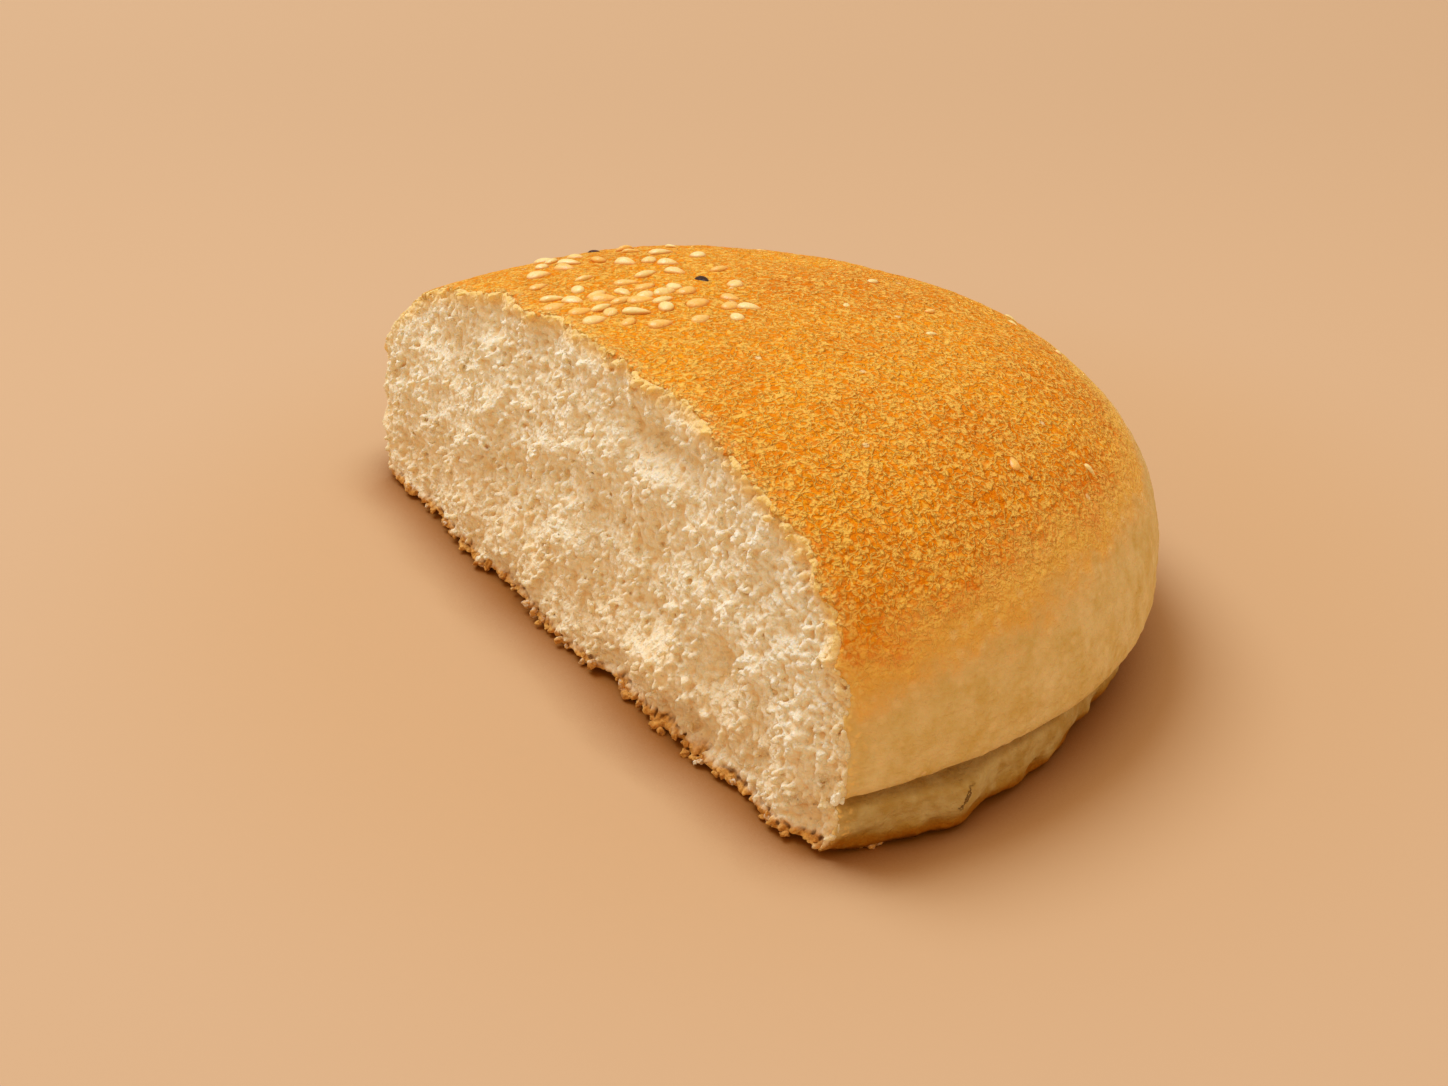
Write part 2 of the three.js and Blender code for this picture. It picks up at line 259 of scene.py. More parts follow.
def makeMesh(name, points, faces, marks):
    mesh = bpy.data.meshes.new(name)
    mesh.vertices.add(len(points))
    mesh.vertices.foreach_set("co", toFrame(points).astype(np.float32).ravel())
    corners = np.concatenate([f.ravel() for f in faces])
    sizes = np.concatenate([np.full(len(f), f.shape[1]) for f in faces])
    mesh.loops.add(len(corners))
    mesh.loops.foreach_set("vertex_index", corners.astype(np.int32))
    mesh.polygons.add(len(sizes))
    mesh.polygons.foreach_set("loop_start", (np.cumsum(sizes) - sizes).astype(np.int32))
    for key, values in marks.items():
        mesh.attributes.new(key, "FLOAT", "POINT").data.foreach_set("value", values.astype(np.float32))
    mesh.update(calc_edges=True)
    mesh.validate()
    mesh.shade_smooth()
    piece = bpy.data.objects.new(name, mesh)
    bpy.context.scene.collection.objects.link(piece)
    return piece


def thinTo(piece, triangles):
    piece.data.calc_loop_triangles()
    count = len(piece.data.loop_triangles)
    if count > triangles:
        modifier = piece.modifiers.new("thin", "DECIMATE")
        modifier.ratio = triangles / count
        modifier.use_collapse_triangulate = True
        bpy.context.view_layer.objects.active = piece
        with bpy.context.temp_override(object=piece, active_object=piece):
            bpy.ops.object.modifier_apply(modifier=modifier.name)
    piece.data.calc_loop_triangles()
    print(piece.name, "has", len(piece.data.loop_triangles), "triangles")


def rimLift(cells, side):  # the rim does not touch the floor all round
    arc = np.arctan2(cells.y, cells.x) * loaf["baseRadius"] / rim["liftLength"]
    rise = np.clip(unevenness(arc, 0 * arc + 0.5, rim["layer"] + 1), 0, 1)
    return (rim["lift"] * rise).astype(np.float32) * np.exp(-np.maximum(-side, 0) / rim["reach"])


def creaseShare(z):
    below = 1 - smoothStep(z, crease["fades"], crease["end"])
    return smoothStep(z, crease["start"], crease["full"]) * below


def footLift(x, depth):
    waves = unevenness(x / foot["length"], 0 * x + 0.5, foot["layer"])
    rise = np.clip(foot["usual"] + foot["range"] * waves, foot["least"], 1)
    return (foot["lift"] * rise * np.exp(-np.maximum(depth, 0) / foot["fade"])).astype(np.float32)


# Crumb: the spongy torn face, with the browned base at its foot
crumbShape = dict(
    low=(-61, -20.5, -0.6), high=(61.5, -5.2, 42), cell=0.25, back=-6.0, recess=0.1,
    seed=11, triangles=197000, coarse=dict(height=0.3, length=2.4), fine=dict(height=0.06, length=0.6),
    nodules=dict(
        length=0.92, height=0.45, reach=0.66, level=0.5, most=1.25, stretch=0.5, flatten=0.6,
        band=0.9, depth=4, lively=0.25, livelyLength=6.0,
        roughEnd=0.5, endFrom=38, endTo=50,  # the near end is torn more roughly
    ),
    cells=dict(count=420, radius=(0.4, 0.75), depth=(-0.45, -0.1)),
    hollows=dict(count=12, radius=(0.9, 1.3), depth=(-0.95, -0.6)),
    grains=dict(count=1100, radius=(0.3, 0.48), depth=(-0.3, 0.0)), stretch=(0.75, 1.4),
    base=dict(height=1.3, ragged=0.5, length=1.1),
    underSkin=0.4, skinFrom=0.4, skinTo=1.6, underLip=1.0, lipFrom=1.6, lipTo=3.0,
    closeReach=0.55, wideReach=1.9,  # how far round each corner its pit and hollow marks look
)


def makeCrumb():
    c = crumbShape
    cells = Cells(c["low"], c["high"], c["cell"])
    side = sideField(cells)
    face = tornFace(cells.x, cells.z).astype(np.float32)
    depth = cells.y - face  # how far behind the torn face
    field = c["recess"] + c["coarse"]["height"] * cells.roughness(c["coarse"]["length"], c["seed"]) - depth
    rng = np.random.default_rng(c["seed"] + 2)
    for kind, sign in ((c["cells"], -1), (c["hollows"], -1), (c["grains"], 1)):
        scatter(cells, field, rng, kind, sign)
    base = c["base"]
    low = 1 - smoothStep(cells.z, 0.6 * base["height"], 1.6 * base["height"])
    field = field + base["ragged"] * low * cells.roughness(base["length"], c["seed"] + 4)
    inset = c["underSkin"] * smoothStep(depth, c["skinFrom"], c["skinTo"])
    inset = inset + c["underLip"] * creaseShare(cells.z) * smoothStep(depth, c["lipFrom"], c["lipTo"])
    field = np.maximum(field, side + inset)
    away = addNodules(cells, field, depth, rng)
    field = np.maximum(field, side + inset)
    field = np.maximum(field, cells.y - c["back"])
    field = np.maximum(field, np.maximum(footLift(cells.x, depth), rimLift(cells, side)) - cells.z)
    solid = (field < 0).astype(np.float32)
    # how enclosed each corner is; the material paints shade from these
    pit, hollow = (blurred(solid, round(c[reach] / c["cell"])) for reach in ("closeReach", "wideReach"))
    kept = dict(pit=pit, hollow=hollow, skinDepth=-side, away=away)
    points, faces = surfaceOf(cells, field)
    marks = {name: cells.sample(values, points) for name, values in kept.items()}
    marks["brown"] = brownShare(points)
    piece = makeMesh("crumb", points, faces, marks)
    thinTo(piece, c["triangles"])
    return piece


def addNodules(cells, field, depth, rng):  # rounded lumps all over the torn face
    kind, seed = crumbShape["nodules"], crumbShape["seed"]
    near = np.nonzero((np.abs(field) < kind["band"]) & (depth < kind["depth"]))
    away = np.ones(cells.shape, np.float32)
    away[near] = noduleDistance(cells, kind, rng, near)
    dips = np.minimum((away[near] / kind["reach"]) ** 2, kind["most"]) - kind["level"]
    lively = 1 + kind["lively"] * cells.roughness(kind["livelyLength"], seed + 6)
    lively = (lively + kind["roughEnd"] * smoothStep(cells.x, kind["endFrom"], kind["endTo"]))[near]
    field[near] += kind["height"] * lively * dips
    fine = crumbShape["fine"]
    field[near] += fine["height"] * cells.roughness(fine["length"], seed + 1)[near]
    return away


def noduleDistance(cells, kind, rng, near):  # from those cells to the nearest nodule's middle, in its length
    pace = cells.step / kind["length"] * np.array([1, kind["stretch"], 1], np.float32)
    counts = [int(n * p) + 4 for n, p in zip(cells.shape, pace)]
    jitter = rng.uniform(0, 1, (*counts, 3)).astype(np.float32)
    places = np.stack(near, 1).astype(np.float32) * pace + 1
    index = places.astype(np.int32)
    nearest = np.full(len(places), 9.0, np.float32)
    for offset in np.ndindex(3, 3, 3):
        middle = index + np.array(offset, np.int32) - 1
        gap = middle + jitter[middle[:, 0], middle[:, 1], middle[:, 2]] - places
        gap[:, 1] *= kind["flatten"]
        nearest = np.minimum(nearest, np.einsum("ij,ij->i", gap, gap))
    return np.sqrt(nearest)


def blurred(field, reach):  # box average over reach cells each way
    for direction in range(3):
        before = np.repeat(field.take([0], direction), reach + 1, direction)
        after = np.repeat(field.take([-1], direction), reach, direction)
        padded = np.concatenate([before, field, after], direction)
        sums = np.cumsum(padded, direction)
        size = 2 * reach + 1
        count = field.shape[direction]
        upper = sums.take(range(size, size + count), direction)
        field = (upper - sums.take(range(count), direction)) / size
    return field.astype(np.float32)


def scatter(cells, field, rng, kind, sign):  # adds lumps (sign 1) or open cells (sign -1) on the torn face
    half = loaf["radius"]
    x = rng.uniform(-half, half, kind["count"])
    z = rng.uniform(0.3, loaf["height"], kind["count"])
    behind = rng.uniform(*kind["depth"], kind["count"])
    radius = rng.uniform(*kind["radius"], kind["count"])
    stretch = rng.uniform(*crumbShape["stretch"], (kind["count"], 3))
    centres = np.stack([x, tornFace(x, z) + behind, z], 1)
    for centre, size, scale in zip(centres, radius, stretch):
        first = np.maximum(((centre - size * scale - cells.low) / cells.step).astype(int) - 1, 0)
        last = ((centre + size * scale - cells.low) / cells.step).astype(int) + 3
        window = tuple(slice(a, b) for a, b in zip(first, last))
        away = ((cells.x[window[0]] - centre[0]) / scale[0]) ** 2
        away = away + ((cells.y[:, window[1]] - centre[1]) / scale[1]) ** 2
        away = away + ((cells.z[:, :, window[2]] - centre[2]) / scale[2]) ** 2
        block = field[window]
        if sign > 0:
            np.minimum(block, np.sqrt(away) - size, out=block)
        else:
            np.maximum(block, size - np.sqrt(away), out=block)


# Crust: the outer skin, with a thin ragged lip round the torn face
crustShape = dict(
    low=(-62, -20, -0.9), high=(62.5, 62.5, 42.5), cell=0.45, triangles=197000,
    lipThickness=0.8, creaseThickness=2.2, creaseFrom=1.0, creaseTo=2.4, recessBack=-7.5,
    edge=0.3, ragged=0.6, raggedLength=1.5, raggedSeed=31, raggedLow=0.4, lowTo=14, highFrom=28,
    pebbles=dict(height=0.1, length=0.95), wrinkles=dict(height=0.12, length=3.4, stretch=(0.6, 1, 1)),
    edgeDrop=0.15, dropFrom=0.4, dropTo=1.8, smoothUnder=0.1, roughAbove=0.8, outerFrom=-0.35, outerTo=-0.1,
)
browning = dict(  # where the golden top gives way to the pale sides
    border=25.0, tilt=3.0, turn=0.2, fade=8.0, wave=2.2, waveLength=13.0, patches=0.25, patchLength=9.0,
    low=(  # x, y, z, reach and drop of the places where the gold comes further down
        (54, -11, 22, 9, 3.8), (54, 6, 24, 9, 1.5), (58.5, -13.5, 14, 4, 4.0), (49, 24, 25, 14, 2.0),
    ),
    toasted=(  # x, y, z, reach and share of the deeper patches
        (52, -9, 27, 9, 0.15), (3, 24, 39, 10, 1.0), (46, 28, 27, 8, 0.6), (40, 14, 35, 9, 0.35),
        (-30, 14, 37, 12, 0.5), (22, 36, 33, 10, 0.7), (-10, 48, 25, 14, 0.8), (-3, 21, 39, 8, 0.6),
        (-24, -4, 38, 8, 0.5),
    ),
)


def makeCrust():
    c = crustShape
    cells = Cells(c["low"], c["high"], c["cell"])
    side = sideField(cells)
    higher = c["raggedLow"] + (1 - c["raggedLow"]) * smoothStep(cells.z, c["lowTo"], c["highFrom"])
    ragged = c["ragged"] * cells.roughness(c["raggedLength"], c["raggedSeed"]) * higher
    depth = cells.y - tornFace(cells.x, cells.z).astype(np.float32)
    thicker = creaseShare(cells.z) * smoothStep(depth, c["creaseFrom"], c["creaseTo"])
    recess = side + c["lipThickness"] + c["creaseThickness"] * thicker
    recess = np.maximum(recess, cells.y - c["recessBack"])
    lifted = np.maximum(footLift(cells.x, depth), rimLift(cells, side))
    field = np.maximum(np.maximum(side, lifted - cells.z), -recess)
    field = np.maximum(field, ragged + c["edge"] - depth)
    points, faces = surfaceOf(cells, field)
    skin = cells.sample(side, points)
    behind = cells.sample(np.broadcast_to(depth, cells.shape), points)
    marks = dict(skinDepth=-skin, behind=behind, brown=brownShare(points), toast=toastShare(points))
    # painted shadow round each seed
    marks["seedShadow"] = seedShade(points)
    outer = smoothStep(skin, c["outerFrom"], c["outerTo"])
    points = reliefAlongNormals(points, faces, outer, behind)
    piece = makeMesh("crust", points, faces, marks)
    thinTo(piece, c["triangles"])
    return piece


def brownShare(points):
    c = browning
    x, y, z = points.T
    border = c["border"] + c["tilt"] * np.sin(np.arctan2(y, x) - c["turn"])
    border = border + c["wave"] * cornerNoise(points, c["waveLength"], 3)
    for centreX, centreY, centreZ, reach, drop in c["low"]:
        away = ((x - centreX) ** 2 + (y - centreY) ** 2 + (z - centreZ) ** 2) / reach ** 2
        border = border - drop * np.exp(-away)
    return smoothStep(z, border - c["fade"], border + c["fade"])


def toastShare(points):
    total = 0
    for *centre, reach, share in browning["toasted"]:
        total = total + share * np.exp(-((points - np.array(centre)) ** 2).sum(1) / reach ** 2)
    return np.clip(total + browning["patches"] * cornerNoise(points, browning["patchLength"], 21), 0, 1)


def seedShade(points):  # painted shadow: the crust is darker close round each seed
    total = np.zeros(len(points))
    for x, y, angle, size in allSeeds:
        awayX, awayY = points[:, 0] - x, points[:, 1] - y
        along = (math.cos(angle) * awayX + math.sin(angle) * awayY) / (0.5 * size * seedShape["length"])
        across = (math.cos(angle) * awayY - math.sin(angle) * awayX) / (0.5 * size * seedShape["width"])
        reach = np.hypot(along, across)
        total = np.maximum(total, 1 - smoothStep(reach, seedShape["shadeFrom"], seedShape["shadeTo"]))
    return total * (points[:, 2] > loaf["widest"])


def cornerNoise(points, length, seed):  # smooth noise from -1 to 1 at any points
    places = points / length
    index = np.floor(places)
    share = smoothStep(places - index, 0, 1)
    total = 0
    for corner in np.ndindex(2, 2, 2):
        weight = np.prod(np.where(corner, share, 1 - share), axis=1)
        total = total + weight * draw((index + corner) @ np.array([1.0, 57.0, 3249.0]) + seed)
    return 2 * total - 1


def cornerNormals(points, faces):
    normals = np.zeros_like(points)
    for f in faces:
        facing = np.cross(points[f[:, 1]] - points[f[:, 0]], points[f[:, 2]] - points[f[:, 0]])
        for corner in f.T:
            for direction in range(3):
                normals[:, direction] += np.bincount(corner, facing[:, direction], len(points))
    return normals / np.maximum(np.linalg.norm(normals, axis=1, keepdims=True), 1e-9)


def reliefAlongNormals(points, faces, share, behind):  # pebbles, wrinkles, and a thinner skin at the tear
    c, pebbles, wrinkles = crustShape, crustShape["pebbles"], crustShape["wrinkles"]
    height = pebbles["height"] * cornerNoise(points, pebbles["length"], 5)
    height = height + wrinkles["height"] * cornerNoise(points * wrinkles["stretch"], wrinkles["length"], 9)
    height = height - c["edgeDrop"] * (1 - smoothStep(behind, c["dropFrom"], c["dropTo"]))
    above = smoothStep(points[:, 2], c["smoothUnder"], c["roughAbove"])
    return points + cornerNormals(points, faces) * (height * share * above)[:, None]


# Sesame seeds, at the places that the solid has them
seedShape = dict(
    length=3.4, width=2.05, thickness=1.2, taper=0.38, sunk=0.14, roll=0.6, bend=0.12, around=16, along=11,
    shadeFrom=0.9, shadeTo=1.55, focus=0.62, edgeMargin=2.6,
    placed=((-9, 10.1, 0.15, 0.72), (2.4, 7.2, 2.2, 0.95), (3.9, 8.9, 0.7, 0.95), (-37.8, 10.2, 0.4, 0.6)),
    fields=(
        dict(x=-6.5, y=-2.5, halfX=10.5, halfY=8.5, draws=90, spacing=2.35, size=0.9, sizeRange=0.24),
        dict(x=-15.0, y=4.0, halfX=22.0, halfY=13.5, draws=75, spacing=3.0, size=0.8, sizeRange=0.28),
    ),
    strays=dict(
        draws=24, spacing=6.0, fromTurn=0.19, turnRange=2.5, start=20.0, range=33.0, size=0.5, sizeRange=0.16,
    ),
    dark=(0, 3),  # which of them are dark
)


def seedPlaces():
    c = seedShape
    seeds = list(c["placed"])
    drawn = [0]

    def nextDraw():
        drawn[0] += 1
        return float(draw(drawn[0]))

    def drop(x, y, kind):
        seed = (x, y, math.pi * nextDraw(), kind["size"] + kind["sizeRange"] * nextDraw())
        clear = all(math.hypot(s[0] - x, s[1] - y) > kind["spacing"] for s in seeds)
        if clear and y > tornPlane(x, crustHeight(x, y)) + c["edgeMargin"]:
            seeds.append(seed)

    for field in c["fields"]:
        for _ in range(field["draws"]):
            turn = 2 * math.pi * nextDraw()
            out = nextDraw() ** c["focus"]
            x = field["x"] + field["halfX"] * out * math.cos(turn)
            y = field["y"] + field["halfY"] * out * math.sin(turn)
            drop(x, y, field)
    strays = c["strays"]
    for _ in range(strays["draws"]):
        turn = strays["fromTurn"] + strays["turnRange"] * nextDraw()
        out = strays["start"] + strays["range"] * nextDraw()
        drop(out * math.cos(turn), out * math.sin(turn), strays)
    return seeds


def seedMesh():  # a drop lying along X, rounder at one end
    c = seedShape
    slope = np.linspace(0, math.pi, c["along"])
    along = -np.cos(slope)
    girth = np.sin(slope) * (1 - c["taper"] * along)
    turns = 2 * math.pi * np.arange(c["around"]) / c["around"]
    x = 0.5 * c["length"] * np.repeat(along[1:-1], c["around"])
    y = 0.5 * c["width"] * np.outer(girth[1:-1], np.cos(turns)).ravel()
    z = 0.5 * c["thickness"] * np.outer(girth[1:-1], np.sin(turns)).ravel()
    points = np.stack([x, y, z], 1)
    ends = np.array([[-0.5 * c["length"], 0, 0], [0.5 * c["length"], 0, 0]])
    points = np.concatenate([points, ends])
    ring = np.arange(c["around"])
    after = np.roll(ring, -1)
    row = np.stack([ring, after, after + c["around"], ring + c["around"]], 1)
    rows = [row + k * c["around"] for k in range(c["along"] - 3)]
    first, last = len(points) - 2, len(points) - 1
    top = (c["along"] - 3) * c["around"]
    caps = [
        np.stack([after, ring, np.full_like(ring, first)], 1),
        np.stack([ring + top, after + top, np.full_like(ring, last)], 1),
    ]
    return points, np.concatenate(rows)[:, ::-1], np.concatenate(caps)[:, ::-1]


def layOnCrust(points, x, y, angle, size):
    reach = 0.4  # over which the crust's slope is taken
    slopeX = (crustHeight(x + reach, y) - crustHeight(x - reach, y)) / (2 * reach)
    slopeY = (crustHeight(x, y + reach) - crustHeight(x, y - reach)) / (2 * reach)
    normal = Vector((-slopeX, -slopeY, 1)).normalized()
    turn = Vector((0, 0, 1)).rotation_difference(normal).to_matrix()
    spin = np.array(Matrix.Rotation(angle, 3, "Z"))
    middle = np.array([x, y, crustHeight(x, y)]) - seedShape["sunk"] * np.array(normal)
    return points * size @ spin.T @ np.array(turn).T + middle


def makeSeeds(name, seeds, shades):
    points, quads, caps = seedMesh()
    allPoints, tones, tips, lows = [], [], [], []
    for k, (x, y, angle, size) in enumerate(seeds):
        bent = points.copy()
        bent[:, 1] += seedShape["bend"] * (shades[k] - 0.5) * points[:, 0] ** 2
        roll = seedShape["roll"] * (2 * float(draw(31 * k + 900)) - 1)  # a seed lies a little on one side
        bent = bent @ np.array(Matrix.Rotation(roll, 3, "X")).T
        allPoints.append(layOnCrust(bent, x, y, angle, size))
        tones.append(np.full(len(points), shades[k]))
        tips.append(points[:, 0] / seedShape["length"] + 0.5)
        lows.append(0.5 - bent[:, 2] / seedShape["thickness"])
    faces = [np.concatenate([f + k * len(points) for k in range(len(seeds))]) for f in (quads, caps)]
    marks = dict(tone=np.concatenate(tones), tip=np.concatenate(tips), low=np.concatenate(lows))
    return makeMesh(name, np.concatenate(allPoints), faces, marks)


# Loose crumbs: a torn tuft at the near corner, some fallen ones, and browned lumps along the foot
bits = dict(
    seed=41, smoothness=3, unevenness=0.5, waves=1.6, stretch=(0.65, 1.35), sunk=0.5,
    tuft=dict(middle=(56.9, -14.8, 7.9), lumps=7, reach=0.75, radius=(0.28, 0.42)),
    fallen=(  # x, y, radius, tone from white crumb to browned
        (34.1, -17.9, 0.4, 0.0), (56.3, -9.2, 0.6, 0.7), (56.0, -10.1, 0.5, 0.9), (56.6, -8.5, 0.4, 0.6),
    ),
    fallenLumps=5, fallenReach=0.6, fallenSize=(0.4, 0.7), fallenHeight=0.8,
    foot=dict(
        draws=50, along=(-50, 52), radius=(0.25, 0.6), out=(-0.6, 0.05), height=(0.3, 1.5), tone=(0.4, 1.0),
    ),
)


def resting(centre, radius, corners):  # a lump that hangs in the air is moved up to the crumb
    away = corners - centre
    distance = np.linalg.norm(away, axis=1)
    nearest = distance.argmin()
    touch = bits["sunk"] * radius
    hangs = centre[2] > radius and distance[nearest] > touch
    return centre + away[nearest] * (1 - touch / distance[nearest]) if hangs else centre


def placeLumps(rng):  # centre, radius and tone of each
    c, lumps = bits, []
    tuft = c["tuft"]
    for _ in range(tuft["lumps"]):
        away = rng.uniform(-1, 1, 3) * tuft["reach"]
        lumps.append((np.array(tuft["middle"]) + away, rng.uniform(*tuft["radius"]), 0.0))
    for x, y, radius, tone in c["fallen"]:
        for _ in range(c["fallenLumps"]):
            away = rng.uniform(-c["fallenReach"], c["fallenReach"], 3) * radius
            size = radius * rng.uniform(*c["fallenSize"])
            height = c["fallenHeight"] * size + abs(away[2])
            lumps.append((np.array([x + away[0], y + away[1], height]), size, tone))
    along = c["foot"]
    for x in rng.uniform(*along["along"], along["draws"]):
        radius = rng.uniform(*along["radius"])
        y = float(tornFace(x, 0.0)) - rng.uniform(*along["out"])
        centre = np.array([x, y, rng.uniform(*along["height"])])
        lumps.append((centre, radius, rng.uniform(*along["tone"])))
    return lumps


def makeBits():
    c = bits
    sphere = bmesh.new()
    bmesh.ops.create_icosphere(sphere, subdivisions=c["smoothness"], radius=1.0)
    ball = np.array([v.co for v in sphere.verts])
    sides = np.array([[v.index for v in f.verts] for f in sphere.faces])
    sphere.free()
    corners = np.empty(3 * len(crumb.data.vertices), np.float32)
    crumb.data.vertices.foreach_get("co", corners)
    corners = (corners.reshape(-1, 3) - np.array(axisPlace)) * 1000
    rng = np.random.default_rng(c["seed"])
    lumps = placeLumps(rng)
    points, tones = [], []
    for k, (centre, radius, tone) in enumerate(lumps):
        stretch = rng.uniform(*c["stretch"], 3)
        bumpy = 1 + c["unevenness"] * cornerNoise(ball * c["waves"] + 7 * k, 1.0, 3)
        points.append(resting(centre, radius, corners) + radius * ball * stretch * bumpy[:, None])
        tones.append(np.full(len(ball), tone))
    faces = np.concatenate([sides + k * len(ball) for k in range(len(lumps))])
    return makeMesh("looseCrumbs", np.concatenate(points), [faces], dict(tone=np.concatenate(tones)))


# Shader building
def newMaterial(name, roughness, specular):
    material = bpy.data.materials.new(name)
    material.use_nodes = True
    shader = material.node_tree.nodes["Principled BSDF"]
    shader.inputs["Roughness"].default_value = roughness
    shader.inputs["Specular IOR Level"].default_value = specular
    return material, material.node_tree, shader


def put(tree, kind, inputs=None, **settings):
    node = tree.nodes.new(kind)
    for key, value in settings.items():
        setattr(node, key, value)
    for key, value in (inputs or {}).items():
        if isinstance(value, bpy.types.NodeSocket):
            tree.links.new(value, node.inputs[key])
        else:
            node.inputs[key].default_value = value
    return node


def maths(tree, operation, first, second=0.0, clamp=False):
    return put(tree, "ShaderNodeMath", {0: first, 1: second}, operation=operation, use_clamp=clamp).outputs[0]


def spread(tree, value, low, high, toLow=0.0, toHigh=1.0):  # smooth step from one range to another
    inputs = {"Value": value, "From Min": low, "From Max": high, "To Min": toLow, "To Max": toHigh}
    return put(tree, "ShaderNodeMapRange", inputs, interpolation_type="SMOOTHSTEP").outputs["Result"]


def times(tree, first, second):
    return maths(tree, "MULTIPLY", first, second)


def plus(tree, first, second):
    return maths(tree, "ADD", first, second)


def less(tree, first, second):
    return maths(tree, "SUBTRACT", first, second)


def blend(tree, share, first, second):
    node = put(tree, "ShaderNodeMix", data_type="RGBA")
    for place, value in ((0, share), (6, first), (7, second)):
        if isinstance(value, bpy.types.NodeSocket):
            tree.links.new(value, node.inputs[place])
        else:
            node.inputs[place].default_value = value if place == 0 else (*value, 1)
    return node.outputs[2]


def mark(tree, name):  # a value kept on the mesh's corners
    return put(tree, "ShaderNodeAttribute", attribute_name=name).outputs["Fac"]


def placeInMillimetres(tree):
    coordinates = put(tree, "ShaderNodeTexCoord").outputs["Object"]
    return put(tree, "ShaderNodeVectorMath", {0: coordinates, 3: 1000.0}, operation="SCALE").outputs[0]


def partsOf(tree, place):
    return put(tree, "ShaderNodeSeparateXYZ", {0: place}).outputs


def newGroup(name, inputs, outputs):
    group = bpy.data.node_groups.new(name, "ShaderNodeTree")
    group.interface.new_socket("Place", in_out="INPUT", socket_type="NodeSocketVector")
    for socket, value in inputs.items():
        made = group.interface.new_socket(socket, in_out="INPUT", socket_type="NodeSocketFloat")
        made.default_value = value
    for socket in outputs:
        group.interface.new_socket(socket, in_out="OUTPUT", socket_type="NodeSocketFloat")
    start, end = group.nodes.new("NodeGroupInput"), group.nodes.new("NodeGroupOutput")
    return group, start.outputs, end.inputs


def pattern(tree, group, place, settings):
    return put(tree, "ShaderNodeGroup", {"Place": place, **settings}, node_tree=group).outputs


def makeMottleGroup():  # soft clouds of one size, for colour that wanders
    group, given, made = newGroup("mottle", dict(Size=1.0, Contrast=0.2, Detail=2.0), ("Value",))
    scale = maths(group, "DIVIDE", 1.0, given["Size"])
    inputs = {"Vector": given["Place"], "Scale": scale, "Detail": given["Detail"], "Roughness": 0.6}
    noise = put(group, "ShaderNodeTexNoise", inputs).outputs["Fac"]
    low, high = less(group, 0.5, given["Contrast"]), plus(group, 0.5, given["Contrast"])
    group.links.new(spread(group, noise, low, high), made["Value"])
    return group


def makeFleckGroup():  # short curly threads, as blistered crust has
    group, given, made = newGroup("flecks", dict(Size=1.0, Width=0.06, Share=0.5), ("Mask",))
    scale = maths(group, "DIVIDE", 1.0, given["Size"])
    inputs = {"Vector": given["Place"], "Scale": scale, "Detail": 1.0, "Distortion": 0.6}
    curls = put(group, "ShaderNodeTexNoise", inputs).outputs["Fac"]
    away = maths(group, "ABSOLUTE", less(group, curls, 0.5))
    thread = spread(group, away, given["Width"], 0.0)
    inputs = {"Vector": given["Place"], "Scale": times(group, scale, 1.7), "Detail": 0.0}
    breaks = put(group, "ShaderNodeTexNoise", inputs).outputs["Fac"]
    edge, soft = less(group, 1.0, given["Share"]), 0.08
    kept = spread(group, breaks, less(group, edge, soft), plus(group, edge, soft))
    group.links.new(times(group, thread, kept), made["Mask"])
    return group


def makeSpotGroup():  # round spots, one in some of the cells
    group, given, made = newGroup("spots", dict(Size=1.0, Radius=0.2, Share=0.5), ("Mask",))
    scale = maths(group, "DIVIDE", 1.0, given["Size"])
    cellular = put(group, "ShaderNodeTexVoronoi", {"Vector": given["Place"], "Scale": scale}, feature="F1")
    tone = put(group, "ShaderNodeSeparateColor", {0: cellular.outputs["Color"]}).outputs["Red"]
    inner = times(group, given["Radius"], 0.45)
    spot = spread(group, cellular.outputs["Distance"], given["Radius"], inner)
    kept = maths(group, "LESS_THAN", tone, given["Share"])
    group.links.new(times(group, spot, kept), made["Mask"])
    return group


def makeNoduleGroup():  # close-set rounded lumps with creases between, as torn crumb and pebbled crust have
    group, given, made = newGroup("nodules", dict(Size=0.8, Wander=0.5), ("Dome", "Gap", "Tone"))
    scale = maths(group, "DIVIDE", 1.0, given["Size"])
    inputs = {"Vector": given["Place"], "Scale": scale, "Detail": 1.0}
    stir = put(group, "ShaderNodeTexNoise", inputs).outputs["Color"]
    stir = put(group, "ShaderNodeVectorMath", {0: stir, 1: (0.5, 0.5, 0.5)}, operation="SUBTRACT").outputs[0]
    reach = times(group, given["Size"], given["Wander"])
    stir = put(group, "ShaderNodeVectorMath", {0: stir, 3: reach}, operation="SCALE").outputs[0]
    moved = put(group, "ShaderNodeVectorMath", {0: given["Place"], 1: stir}, operation="ADD").outputs[0]
    lumps = put(group, "ShaderNodeTexVoronoi", {"Vector": moved, "Scale": scale}, feature="F1")
    tone = put(group, "ShaderNodeSeparateColor", {0: lumps.outputs["Color"]}).outputs["Red"]
    edges = put(group, "ShaderNodeTexVoronoi", {"Vector": moved, "Scale": scale}, feature="DISTANCE_TO_EDGE")
    group.links.new(spread(group, lumps.outputs["Distance"], 0.62, 0.05), made["Dome"])
    group.links.new(spread(group, edges.outputs["Distance"], 0.16, 0.0), made["Gap"])
    group.links.new(tone, made["Tone"])
    return group


mottle, flecks, spots, nodules = makeMottleGroup(), makeFleckGroup(), makeSpotGroup(), makeNoduleGroup()


